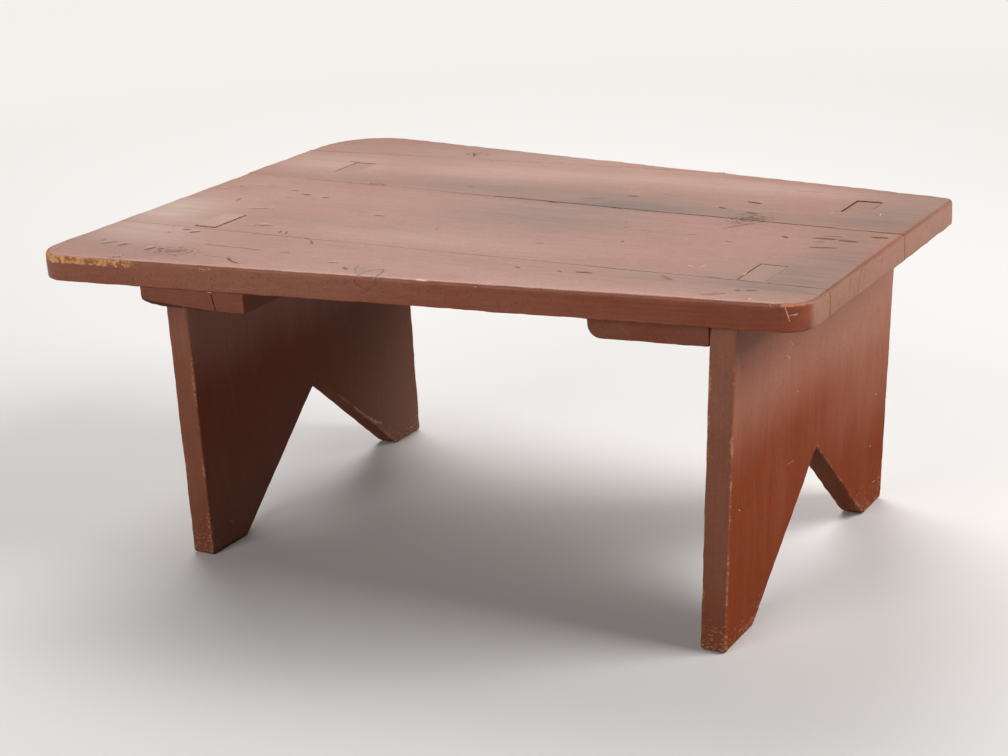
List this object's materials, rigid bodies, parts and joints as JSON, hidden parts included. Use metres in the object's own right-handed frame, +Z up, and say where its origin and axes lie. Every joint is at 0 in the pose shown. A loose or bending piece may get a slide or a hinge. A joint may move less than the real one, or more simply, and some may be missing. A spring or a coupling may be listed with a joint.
{
  "type": "bench stool",
  "caption": "Low wooden bench stool: tapering plank top, V-notched plank legs with tenons through the top, battens nailed underneath.",
  "frame": {"origin": "on the floor, under the middle of the top", "axes": "+X along the top from the wide end to the narrow end, +Y from the front edge to the back edge, +Z up"},
  "size_m": [0.66, 0.486, 0.285],
  "materials": {
    "top_paint": "brick red paint, rubbed dull and dusty on the seat, dark on the edges",
    "leg_paint": "brick red paint, satin, worn at the arrises",
    "batten_paint": "brick red paint, thin and dark",
    "nail_steel": "dark, rusted"
  },
  "bodies": {
    "root": {"top_board_front": "top_paint", "top_board_middle": "top_paint", "top_board_back": "top_paint", "top_strip_back": "top_paint", "leg_wide_end": "leg_paint", "leg_narrow_end": "leg_paint", "batten_wide_end": "batten_paint", "batten_narrow_end": "batten_paint", "nails_wide_end": "nail_steel", "nails_narrow_end": "nail_steel"}
  },
  "joints": []
}
